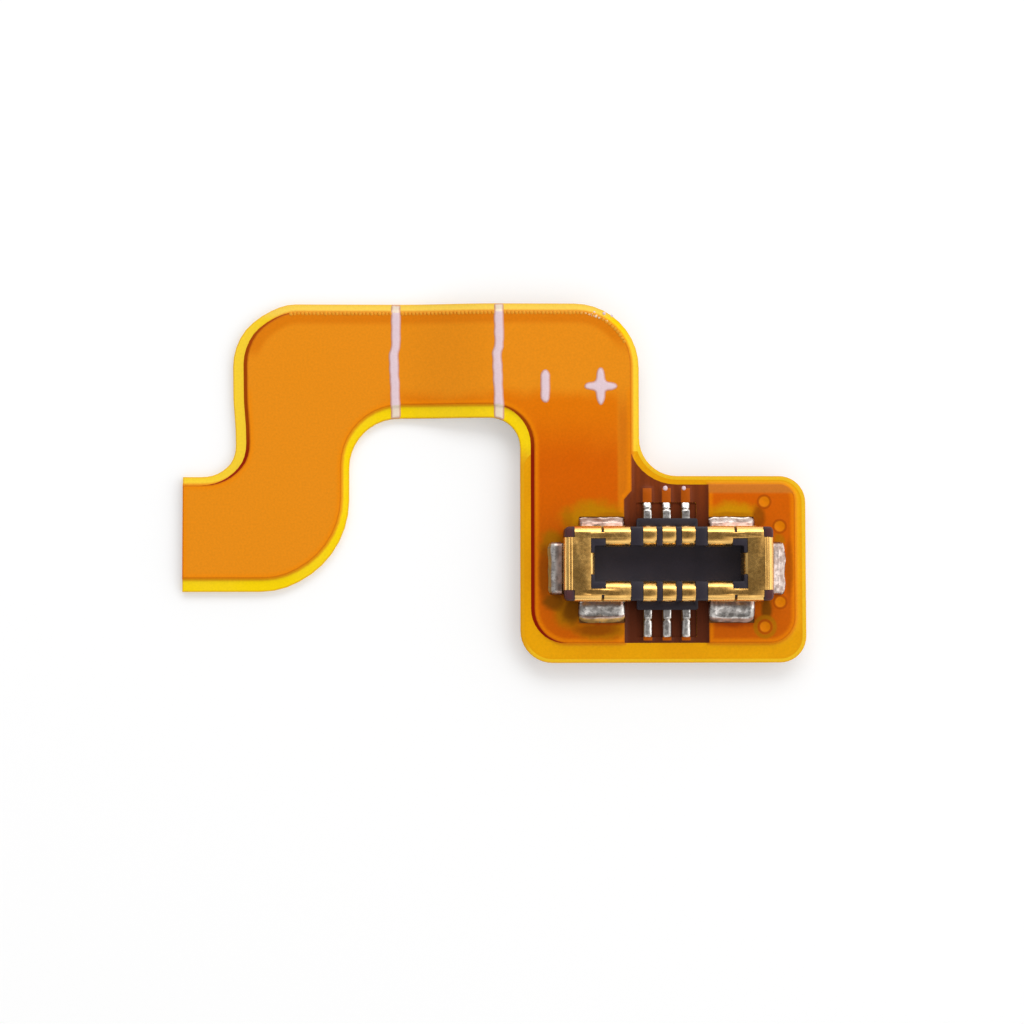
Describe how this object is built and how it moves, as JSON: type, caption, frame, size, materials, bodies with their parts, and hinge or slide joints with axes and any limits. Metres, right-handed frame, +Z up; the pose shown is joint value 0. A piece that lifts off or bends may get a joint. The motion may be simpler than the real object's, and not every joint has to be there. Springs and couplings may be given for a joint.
{
  "type": "battery connector flex circuit",
  "caption": "Amber flexible circuit tail of a thin battery that turns round a square notch and ends in a low board-to-board plug.",
  "frame": {"origin": "under the centre of the plug, on the underside of the stiffener, which lies on the surface below", "axes": "+X from the cut end of the tail towards the plug, along the plug's length; +Y from the landing towards the upper strip; +Z up, out of the plug's mating side"},
  "size_m": [0.0114, 0.0066, 0.0009],
  "materials": {
    "polyimide": "satin amber polyimide film",
    "copper": "rolled copper foil",
    "stiffener_board": "glass-epoxy board",
    "adhesive": "clear amber glue film",
    "white_ink": "printed ink",
    "black_plastic": "moulded liquid crystal polymer",
    "gold_plate": "gold-plated copper alloy",
    "solder": "reflowed tin solder"
  },
  "bodies": {
    "root": {"stiffener": "stiffener_board", "stiffener_adhesive": "adhesive", "bottom_coverlay": "polyimide", "positive_copper": "copper", "base_film": "polyimide", "negative_copper": "copper", "positive_pad": "copper", "signal_pad_1": "copper", "signal_pad_2": "copper", "signal_pad_3": "copper", "signal_pad_4": "copper", "signal_pad_5": "copper", "signal_pad_6": "copper", "via_barrel_1": "copper", "via_barrel_2": "copper", "via_barrel_3": "copper", "via_barrel_4": "copper", "top_coverlay": "polyimide", "bend_line_left": "white_ink", "bend_line_right": "white_ink", "negative_mark": "white_ink", "positive_mark": "white_ink", "plug_housing": "black_plastic", "signal_contact_1": "gold_plate", "signal_contact_2": "gold_plate", "signal_contact_3": "gold_plate", "signal_contact_4": "gold_plate", "signal_contact_5": "gold_plate", "signal_contact_6": "gold_plate", "negative_contact": "gold_plate", "positive_contact": "gold_plate", "signal_solder_1": "solder", "signal_solder_2": "solder", "signal_solder_3": "solder", "signal_solder_4": "solder", "signal_solder_5": "solder", "signal_solder_6": "solder", "negative_solder_upper": "solder", "negative_solder_lower": "solder", "negative_solder_end": "solder", "positive_solder_upper": "solder", "positive_solder_lower": "solder", "positive_solder_end": "solder"}
  },
  "joints": []
}
